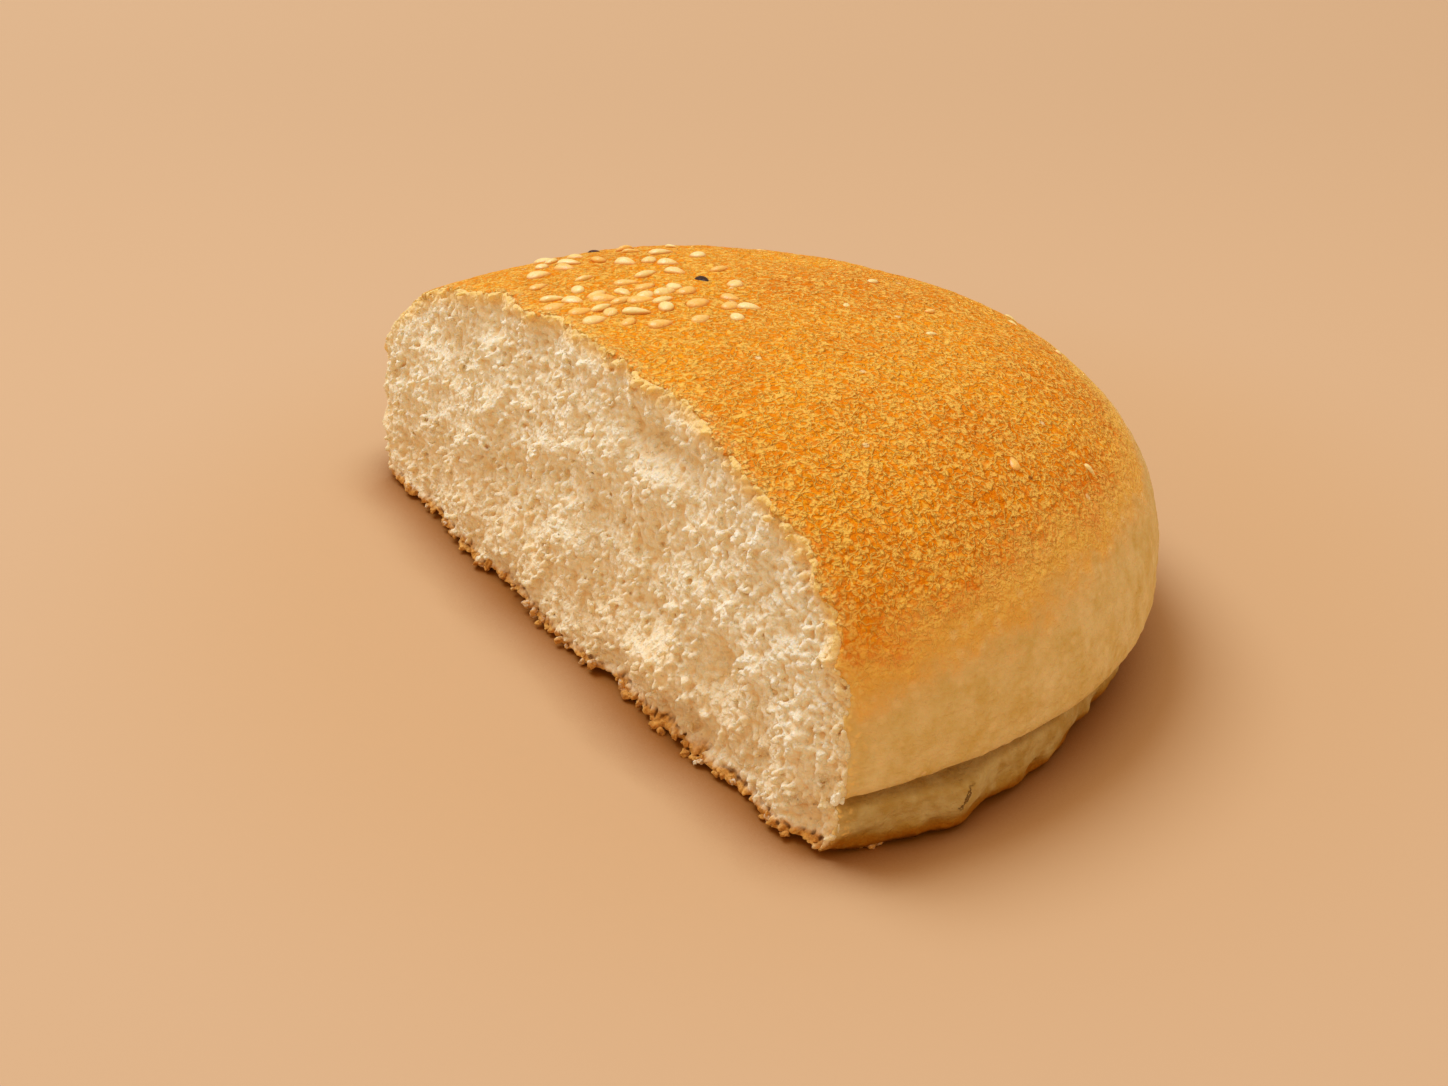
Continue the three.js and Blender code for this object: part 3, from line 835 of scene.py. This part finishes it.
def finishMaterial(tree, shader, colour, bumps, look):
    tree.links.new(colour, shader.inputs["Base Color"])
    inputs = {"Height": bumps, "Distance": 0.001 * look["bump"], "Strength": 1.0}
    tree.links.new(put(tree, "ShaderNodeBump", inputs).outputs["Normal"], shader.inputs["Normal"])
    if "lightDepth" in look:
        shader.inputs["Subsurface Weight"].default_value = look["lightShare"]
        shader.inputs["Subsurface Radius"].default_value = look["lightColour"]
        shader.inputs["Subsurface Scale"].default_value = 0.001 * look["lightDepth"]


# Materials. A pattern's settings are its group's inputs. A fade is from and to, then the shares at both ends
crustLook = dict(
    golden=(1.0, 0.395, 0.006), toasted=(0.74, 0.20, 0.0), deepToneAndShade=(0.82, 0.215, 0.002),
    bright=(1.0, 0.665, 0.13), fleck=(1.0, 0.76, 0.36), brownSpeck=(0.22, 0.06, 0.005),
    side=(0.71, 0.475, 0.115), sidePale=(0.90, 0.735, 0.37), between=(0.90, 0.50, 0.08),
    edge=(1.0, 0.665, 0.21), edgeUnder=(1.0, 0.74, 0.32),
    slab=(0.45, 0.26, 0.038), slabPale=(0.61, 0.47, 0.20), seam=(0.34, 0.18, 0.035),
    rim=(0.37, 0.125, 0.004), rimDark=(0.13, 0.04, 0.003),
    clouds=dict(Size=3.2, Contrast=0.3), patches=dict(Size=9.0, Contrast=0.14),
    grain=dict(Size=0.75, Contrast=0.24),
    wide=dict(Size=1.5, Width=0.08, Share=0.6), fine=dict(Size=1.0, Width=0.09, Share=0.6),
    pebbles=dict(Size=0.85, Wander=1.0), creases=dict(Size=1.1, Contrast=0.2), creaseStretch=(0.7, 0.7, 1.2),
    pale=dict(Size=4.2, Radius=0.12, Share=0.35), brown=dict(Size=6.5, Radius=0.07, Share=0.18),
    freckles=dict(Size=1.7, Radius=0.45, Share=0.6),
    borderWave=0.3, firm=(0.35, 1.0, 0.1, 1.0), toast=0.8, toastClouds=0.55, toastLess=0.1,
    gapShadeShare=0.95, dipGrain=0.5, seedShadowShare=0.8, sideShare=0.3,
    betweenIn=(0.1, 0.5), betweenOut=(0.95, 0.5, 0.0, 0.7),
    lively=(0.0, 1.0, 0.28, 0.85), livelyUp=(21.0, 31.0, 0.5, 1.0), light=(0.0, 0.5), crestHighlight=(0.2, 0.95),
    curl=0.85, paleShare=0.8, freckleFade=(0.2, 0.9, 0.3, 0.0), brownShare=0.85,
    bloomUp=(1.8, 4.2), bloomClouds=(0.1, 0.8, 0.35, 1.0), slabGrain=0.2, slabTop=(8.0, 7.0),
    seamIn=(6.2, 6.9), seamOut=(7.9, 7.3), seamShadeShare=0.45, rimFade=(3.2, 1.2), rimGrain=(0.0, 1.0, 0.75, 1.0),
    rimDarkFade=(1.3, 0.5, 0.0, 0.8),
    crack=dict(y=-0.4, lean=0.45, width=0.26, wave=0.9, low=3.0, high=6.6, share=0.7),
    edgeWave=1.6, edgeFade=(3.4, 0.9), edgeDomes=(0.0, 0.9, 0.15, 0.9),
    underFade=(0.15, 0.6), underBack=(3.0, 2.0),
    curlBump=0.5, domeBump=0.9, grainBump=0.6, creaseBump=0.25, bump=0.34, roughness=0.65, specular=0.04,
    grainRoughness=(0.0, 1.0, 0.75, 0.55), lightShare=0.12, lightColour=(1.0, 0.45, 0.15), lightDepth=0.6,
)


def crackMask(tree, parts, grain):  # a fine crack across the base layer at the near end
    c = crustLook["crack"]
    across = less(tree, parts["Y"], 1000 * axisPlace.y + c["y"])
    lean = times(tree, less(tree, parts["Z"], c["low"]), c["lean"])
    wander = times(tree, less(tree, grain, 0.5), c["wave"])
    away = maths(tree, "ABSOLUTE", plus(tree, less(tree, across, lean), wander))
    line = spread(tree, away, c["width"], 0.25 * c["width"])
    line = times(tree, line, spread(tree, parts["Z"], c["low"], c["low"] + 1))
    line = times(tree, line, spread(tree, parts["Z"], c["high"], c["high"] - 1))
    here = maths(tree, "GREATER_THAN", parts["X"], 1000 * axisPlace.x)
    return times(tree, line, here)


def makeCrustMaterial():
    c = crustLook
    material, tree, shader = newMaterial("crust", c["roughness"], c["specular"])
    place = placeInMillimetres(tree)
    parts = partsOf(tree, place)
    height = parts["Z"]
    clouds = pattern(tree, mottle, place, c["clouds"])["Value"]
    patches = pattern(tree, mottle, place, c["patches"])["Value"]
    grain = pattern(tree, mottle, place, c["grain"])["Value"]
    wide, fine = (pattern(tree, flecks, place, c[name])["Mask"] for name in ("wide", "fine"))
    curls = maths(tree, "MAXIMUM", wide, fine)
    pebbles = pattern(tree, nodules, place, c["pebbles"])
    pale, brown, freckles = (pattern(tree, spots, place, c[n])["Mask"] for n in ("pale", "brown", "freckles"))
    # golden top and pale sides
    border = times(tree, less(tree, clouds, 0.5), c["borderWave"])
    share = spread(tree, plus(tree, mark(tree, "brown"), border), 0.0, 1.0)
    firm = spread(tree, share, *c["firm"])
    cloudy = less(tree, times(tree, patches, c["toastClouds"]), c["toastLess"])
    toast = maths(tree, "ADD", cloudy, times(tree, mark(tree, "toast"), c["toast"]), clamp=True)
    top = blend(tree, times(tree, toast, firm), c["golden"], c["toasted"])
    # painted shade in the creases between the pebbles and round the seeds, with random darker grain, in the
    # deep colour
    gapShade, lows = times(tree, pebbles["Gap"], c["gapShadeShare"]), times(tree, grain, c["dipGrain"])
    dips = maths(tree, "MAXIMUM", gapShade, lows)
    dips = maths(tree, "MAXIMUM", dips, times(tree, mark(tree, "seedShadow"), c["seedShadowShare"]))
    top = blend(tree, times(tree, dips, firm), top, c["deepToneAndShade"])
    inputs = {0: place, 1: c["creaseStretch"]}
    long = put(tree, "ShaderNodeVectorMath", inputs, operation="MULTIPLY").outputs[0]
    creases = pattern(tree, mottle, long, c["creases"])["Value"]
    side = blend(tree, clouds, c["side"], c["sidePale"])
    side = blend(tree, times(tree, creases, c["sideShare"]), side, c["sidePale"])
    side = blend(tree, times(tree, patches, c["sideShare"]), side, c["side"])
    colour = blend(tree, share, side, top)
    middling = times(tree, spread(tree, share, *c["betweenIn"]), spread(tree, share, *c["betweenOut"]))
    colour = blend(tree, middling, colour, c["between"])
    # painted highlights on the pebbles' crests, and the pale flecks
    lively = times(tree, spread(tree, share, *c["lively"]), spread(tree, height, *c["livelyUp"]))
    light = blend(tree, spread(tree, share, *c["light"]), c["sidePale"], c["bright"])
    highlightsAndFlecks = times(tree, pebbles["Dome"], spread(tree, pebbles["Tone"], *c["crestHighlight"]))
    highlightsAndFlecks = maths(tree, "MAXIMUM", highlightsAndFlecks, times(tree, curls, c["curl"]))
    colour = blend(tree, times(tree, highlightsAndFlecks, lively), colour, light)
    colour = blend(tree, times(tree, pale, c["paleShare"]), colour, c["fleck"])
    colour = blend(tree, times(tree, freckles, spread(tree, share, *c["freckleFade"])), colour, c["fleck"])
    colour = blend(tree, times(tree, times(tree, brown, share), c["brownShare"]), colour, c["brownSpeck"])
    # base layer, painted shade in the seam, and browned rim
    level = plus(tree, height, less(tree, clouds, 0.5))
    bloom = times(tree, spread(tree, level, *c["bloomUp"]), spread(tree, clouds, *c["bloomClouds"]))
    slab = blend(tree, bloom, c["slab"], c["slabPale"])
    slab = blend(tree, times(tree, grain, c["slabGrain"]), slab, c["slab"])
    colour = blend(tree, spread(tree, height, *c["slabTop"]), colour, slab)
    # painted shade in the crease under the lip
    seam = times(tree, spread(tree, height, *c["seamIn"]), spread(tree, height, *c["seamOut"]))
    colour = blend(tree, times(tree, seam, c["seamShadeShare"]), colour, c["seam"])
    browned = times(tree, spread(tree, level, *c["rimFade"]), spread(tree, grain, *c["rimGrain"]))
    colour = blend(tree, browned, colour, c["rim"])
    colour = blend(tree, spread(tree, level, *c["rimDarkFade"]), colour, c["rimDark"])
    crack = crackMask(tree, parts, grain)
    colour = blend(tree, times(tree, crack, c["crack"]["share"]), colour, c["rimDark"])
    # torn edge
    behind = mark(tree, "behind")
    tear = spread(tree, plus(tree, behind, times(tree, grain, c["edgeWave"])), *c["edgeFade"])
    edge = times(tree, tear, spread(tree, pebbles["Dome"], *c["edgeDomes"]))
    colour = blend(tree, edge, colour, c["edge"])
    under = spread(tree, mark(tree, "skinDepth"), *c["underFade"])
    under = times(tree, under, spread(tree, behind, *c["underBack"]))
    colour = blend(tree, under, colour, c["edgeUnder"])
    bumps = plus(tree, times(tree, curls, c["curlBump"]), times(tree, pebbles["Dome"], c["domeBump"]))
    bumps = plus(tree, bumps, times(tree, grain, c["grainBump"]))
    bumps = plus(tree, times(tree, bumps, lively), times(tree, creases, c["creaseBump"]))
    tree.links.new(spread(tree, grain, *c["grainRoughness"]), shader.inputs["Roughness"])
    finishMaterial(tree, shader, colour, less(tree, bumps, crack), c)
    return material


crumbLook = dict(
    crestHighlight=(1.0, 0.98, 0.80), flat=(0.98, 0.88, 0.62), tanAndShade=(0.94, 0.71, 0.38), deepToneAndShade=(0.84, 0.53, 0.21),
    skin=(1.0, 0.68, 0.25), farSkin=(0.96, 0.62, 0.10), pinholeShade=(0.34, 0.20, 0.07),
    base=(0.50, 0.21, 0.03), baseShade=(0.20, 0.07, 0.008), baseGold=(0.88, 0.48, 0.12),
    clouds=dict(Size=2.6, Contrast=0.3), grain=dict(Size=0.6, Contrast=0.25),
    lumps=dict(Size=0.62, Wander=0.9), pinholes=dict(Size=1.5, Radius=0.15, Share=0.35),
    flatAway=(0.15, 0.62), nearEndLight=(18.0, 56.0, 0.0, 0.85), shadeBetweenNodules=(0.5, 0.85, 0.0, 0.75),
    pitShade=(0.5, 0.7, 0.0, 0.8), deepPitShade=(0.66, 0.85), hollowShade=(0.52, 0.66, 0.0, 0.5), gap=0.45,
    dome=0.6, domeTone=(0.2, 0.9), dipClouds=(0.0, 1.0, 0.0, 0.2), pinholeDown=(20.0, 8.0, 0.1, 0.6),
    dipDown=(18.0, 7.0, 0.0, 0.35), skinWave=0.8, skinUp=(14.0, 30.0, 0.3, 1.0),
    skinFade=(3.2, 1.0, 0.0, 0.85), outerFade=(1.1, 0.4, 0.0, 0.9),
    farX=(-57.6, -58.8), farUp=(8.0, 14.0, 0.0, 0.8),
    baseWave=1.2, basePitShade=(0.5, 0.66), baseFade=(2.3, 1.1), grainBump=0.5, bump=0.15,
    roughness=0.8, specular=0.15, lightShare=0.35, lightColour=(1.0, 0.8, 0.55), lightDepth=0.9,
)


def makeCrumbMaterial():
    c = crumbLook
    material, tree, shader = newMaterial("crumb", c["roughness"], c["specular"])
    place = placeInMillimetres(tree)
    parts = partsOf(tree, place)
    along, height = parts["X"], parts["Z"]
    clouds, grain = (pattern(tree, mottle, place, c[name])["Value"] for name in ("clouds", "grain"))
    lumps = pattern(tree, nodules, place, c["lumps"])
    pinholes = pattern(tree, spots, place, c["pinholes"])["Mask"]
    pit, hollow, away = mark(tree, "pit"), mark(tree, "hollow"), mark(tree, "away")
    # painted highlight: the crest colour on the nodules' middles and domes
    bright = times(tree, lumps["Dome"], spread(tree, lumps["Tone"], *c["domeTone"]))
    colour = blend(tree, spread(tree, away, *c["flatAway"]), c["crestHighlight"], c["flat"])
    layers = (  # from the first to the last: how much of it, and its colour
        # painted light: the near end of the crumb lighter
        (spread(tree, along, *c["nearEndLight"]), "crestHighlight"),
        # painted shade: tan between the nodules
        (spread(tree, away, *c["shadeBetweenNodules"]), "tanAndShade"),
        # painted shade in the pits, the deeper pits and the hollows
        (spread(tree, pit, *c["pitShade"]), "tanAndShade"),
        (spread(tree, pit, *c["deepPitShade"]), "deepToneAndShade"),
        (spread(tree, hollow, *c["hollowShade"]), "tanAndShade"),
        # painted shade in the creases between the nodules, and painted highlight on their domes
        (times(tree, lumps["Gap"], c["gap"]), "tanAndShade"),
        (times(tree, bright, c["dome"]), "crestHighlight"),
        (spread(tree, clouds, *c["dipClouds"]), "tanAndShade"),
        # painted shade in the pinholes, more of them low down
        (times(tree, pinholes, spread(tree, height, *c["pinholeDown"])), "pinholeShade"),
        (spread(tree, height, *c["dipDown"]), "tanAndShade"),
    )
    for share, name in layers:
        colour = blend(tree, share, colour, c[name])
    # towards the crust
    ragged = plus(tree, mark(tree, "skinDepth"), times(tree, grain, c["skinWave"]))
    higher = spread(tree, height, *c["skinUp"])
    colour = blend(tree, times(tree, spread(tree, ragged, *c["skinFade"]), higher), colour, c["skin"])
    outer = blend(tree, mark(tree, "brown"), crustLook["sidePale"], crustLook["edge"])
    colour = blend(tree, times(tree, spread(tree, ragged, *c["outerFade"]), higher), colour, outer)
    farSkin = spread(tree, along, *(1000 * axisPlace.x + x for x in c["farX"]))
    farSkin = times(tree, farSkin, spread(tree, height, *c["farUp"]))
    colour = blend(tree, farSkin, colour, c["farSkin"])
    # browned base
    level = plus(tree, height, times(tree, less(tree, clouds, 0.5), c["baseWave"]))
    browned = blend(tree, grain, c["base"], c["baseGold"])
    # painted shade in the pits of the browned base
    browned = blend(tree, spread(tree, pit, *c["basePitShade"]), browned, c["baseShade"])
    colour = blend(tree, spread(tree, level, *c["baseFade"]), colour, browned)
    bumps = plus(tree, lumps["Dome"], times(tree, grain, c["grainBump"]))
    finishMaterial(tree, shader, colour, bumps, c)
    return material


bitsLook = dict(
    grain=dict(Size=0.5, Contrast=0.25), lumps=dict(Size=0.4, Wander=0.9), toneWave=0.5, brownFade=(0.1, 0.7),
    bump=0.08,
)


def makeBitsMaterial():
    c = crumbLook
    material, tree, shader = newMaterial("looseCrumb", c["roughness"], c["specular"])
    place = placeInMillimetres(tree)
    grain = pattern(tree, mottle, place, bitsLook["grain"])["Value"]
    lumps = pattern(tree, nodules, place, bitsLook["lumps"])
    # painted highlight on the lumps' domes, flatter colour in the gaps
    white = blend(tree, lumps["Gap"], c["crestHighlight"], c["flat"])
    browned = blend(tree, grain, c["base"], c["baseGold"])
    shade = plus(tree, mark(tree, "tone"), times(tree, less(tree, grain, 0.5), bitsLook["toneWave"]))
    colour = blend(tree, spread(tree, shade, *bitsLook["brownFade"]), white, browned)
    finishMaterial(tree, shader, colour, plus(tree, lumps["Dome"], grain), bitsLook)
    return material


seedLook = dict(
    pale=((1.0, 0.82, 0.34), (1.0, 0.58, 0.12), (0.72, 0.24, 0.012)),  # cream, toasted, and painted shade for the lower side
    dark=((0.024, 0.010, 0.005), (0.09, 0.034, 0.014), (0.024, 0.010, 0.005)),
    roughness=0.36, specular=0.4, darkSpecular=0.1, darkTones=(0.4, 0.8),
    grain=dict(Size=0.6, Contrast=0.25), specks=dict(Size=0.5, Radius=0.3, Share=0.3), toneWave=0.35,
    toneFade=(0.1, 0.95), tipFade=(0.55, 1.0, 0.0, 0.6), speckShare=0.2, underFade=(0.12, 0.52), bump=0.05,
    lightShare=0.2, lightColour=(1.0, 0.5, 0.2), lightDepth=0.5,
)


def makeSeedMaterial(name, colours, specular):
    c = seedLook
    first, second, under = colours
    material, tree, shader = newMaterial(name, c["roughness"], specular)
    place = placeInMillimetres(tree)
    grain = pattern(tree, mottle, place, c["grain"])["Value"]
    specks = pattern(tree, spots, place, c["specks"])["Mask"]
    shade = plus(tree, mark(tree, "tone"), times(tree, less(tree, grain, 0.5), c["toneWave"]))
    colour = blend(tree, spread(tree, shade, *c["toneFade"]), first, second)
    colour = blend(tree, spread(tree, mark(tree, "tip"), *c["tipFade"]), colour, second)
    colour = blend(tree, times(tree, specks, c["speckShare"]), colour, second)
    # painted shade: the lower side of each seed darker
    colour = blend(tree, spread(tree, mark(tree, "low"), *c["underFade"]), colour, under)
    finishMaterial(tree, shader, colour, grain, c)
    return material


# Build
allSeeds = seedPlaces()
print("crumb")
crumb = makeCrumb()
crumb.data.materials.append(makeCrumbMaterial())
print("crust")
crust = makeCrust()
crust.data.materials.append(makeCrustMaterial())
print("seeds")
darkOnes = [allSeeds[k] for k in seedShape["dark"]]
paleOnes = [seed for k, seed in enumerate(allSeeds) if k not in seedShape["dark"]]
paleSeeds = makeSeeds("sesameSeeds", paleOnes, [float(draw(7 * k + 5000)) for k in range(len(paleOnes))])
paleSeeds.data.materials.append(makeSeedMaterial("sesame", seedLook["pale"], seedLook["specular"]))
darkSeeds = makeSeeds("darkSeeds", darkOnes, seedLook["darkTones"])
darkSeeds.data.materials.append(makeSeedMaterial("darkSeed", seedLook["dark"], seedLook["darkSpecular"]))
print("loose crumbs")
looseCrumbs = makeBits()
looseCrumbs.data.materials.append(makeBitsMaterial())

for piece, slot in ((crumb, "crumb"), (crust, "crust"), (paleSeeds, "sesame"), (darkSeeds, "dark_seed")):
    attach(piece, "root")
    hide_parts("bread")
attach(looseCrumbs, "root")


# Floor, light and camera
stage = dict(
    colour=(0.665, 0.447, 0.253), farFalloff=0.93, away=(-0.846, 0.534, 0), start=40, end=260,
    loafShade=(0.655, 0.42, 0.215), loafShadeFrom=60, loafShadeTo=115,
    shade=(0.31, 0.105, 0.007), shadeReach=0.011, shadeLean=(0, 0.4, 0.92), shadeFade=(0.28, 0.98),
    roughness=0.8, specular=0.2, size=3.0,
    lamp=dict(place=(-1.05, -0.33, 2.05), size=1.3, power=34, colour=(0.80, 0.97, 1.2)),
    world=(1.29, 0.93, 0.62, 1), worldStrength=0.55,
)


def makeFloor():
    half = stage["size"] / 2
    corners = [(-half, -half, 0), (half, -half, 0), (half, half, 0), (-half, half, 0)]
    mesh = bpy.data.meshes.new("floor")
    mesh.from_pydata(corners, [], [(0, 1, 2, 3)])
    floor = bpy.data.objects.new("floor", mesh)
    bpy.context.scene.collection.objects.link(floor)
    material, tree, shader = newMaterial("floor", stage["roughness"], stage["specular"])
    lean = put(tree, "ShaderNodeCombineXYZ", dict(zip("XYZ", stage["shadeLean"]))).outputs[0]
    inputs = {"Distance": stage["shadeReach"], "Normal": lean}
    openness = put(tree, "ShaderNodeAmbientOcclusion", inputs, samples=8).outputs["AO"]
    place = placeInMillimetres(tree)
    inputs = {0: place, 1: stage["away"]}
    distance = put(tree, "ShaderNodeVectorMath", inputs, operation="DOT_PRODUCT").outputs["Value"]
    distance = spread(tree, distance, stage["start"], stage["end"])
    # painted falloff of the lamp's light: the floor darker further off
    colour = blend(tree, distance, stage["colour"], [v * stage["farFalloff"] for v in stage["colour"]])
    fromLoaf = put(tree, "ShaderNodeVectorMath", {0: place}, operation="LENGTH").outputs["Value"]
    # painted shade: the floor darker and warmer close round the loaf
    colour = blend(tree, spread(tree, fromLoaf, stage["loafShadeTo"], stage["loafShadeFrom"]), colour, stage["loafShade"])
    colour = blend(tree, spread(tree, openness, *stage["shadeFade"]), stage["shade"], colour)
    tree.links.new(colour, shader.inputs["Base Color"])
    mesh.materials.append(material)


def makeLight():  # one wide lamp, high up at the back on the left of the view, that points at the origin
    c = stage["lamp"]
    light = bpy.data.lights.new("key", "AREA")
    light.shape, light.size, light.energy, light.color = "DISK", c["size"], c["power"], c["colour"]
    lamp = bpy.data.objects.new("key", light)
    lamp.location = c["place"]
    lamp.rotation_euler = (-Vector(c["place"])).to_track_quat("-Z", "Y").to_euler()
    bpy.context.scene.collection.objects.link(lamp)
    world = bpy.data.worlds.new("studio")
    bpy.context.scene.world = world
    world.use_nodes = True
    sky = world.node_tree.nodes["Background"].inputs
    sky["Color"].default_value, sky["Strength"].default_value = stage["world"], stage["worldStrength"]


view = dict(
    target=(27.627, -9.7655, 24.0), turn=57.745, rise=28.207, distance=224.25,
    focal=2000.0, frameWidth=1448.0, sensor=36.0, clipStart=0.005,
)


def makeCamera():
    turn, rise = math.radians(view["turn"]), math.radians(view["rise"])
    back = Vector((math.sin(turn) * math.cos(rise), -math.cos(turn) * math.cos(rise), math.sin(rise)))
    target = Vector(view["target"]) * 0.001 + axisPlace
    data = bpy.data.cameras.new("camera")
    data.sensor_width = view["sensor"]
    data.lens = view["focal"] / view["frameWidth"] * view["sensor"]
    data.clip_start = view["clipStart"]
    camera = bpy.data.objects.new("camera", data)
    camera.location = target + back * view["distance"] * 0.001
    camera.rotation_euler = back.to_track_quat("Z", "Y").to_euler()
    bpy.context.scene.collection.objects.link(camera)
    bpy.context.scene.camera = camera


makeFloor()
makeCamera()
makeLight()
bpy.context.scene.view_settings.view_transform = "Standard"
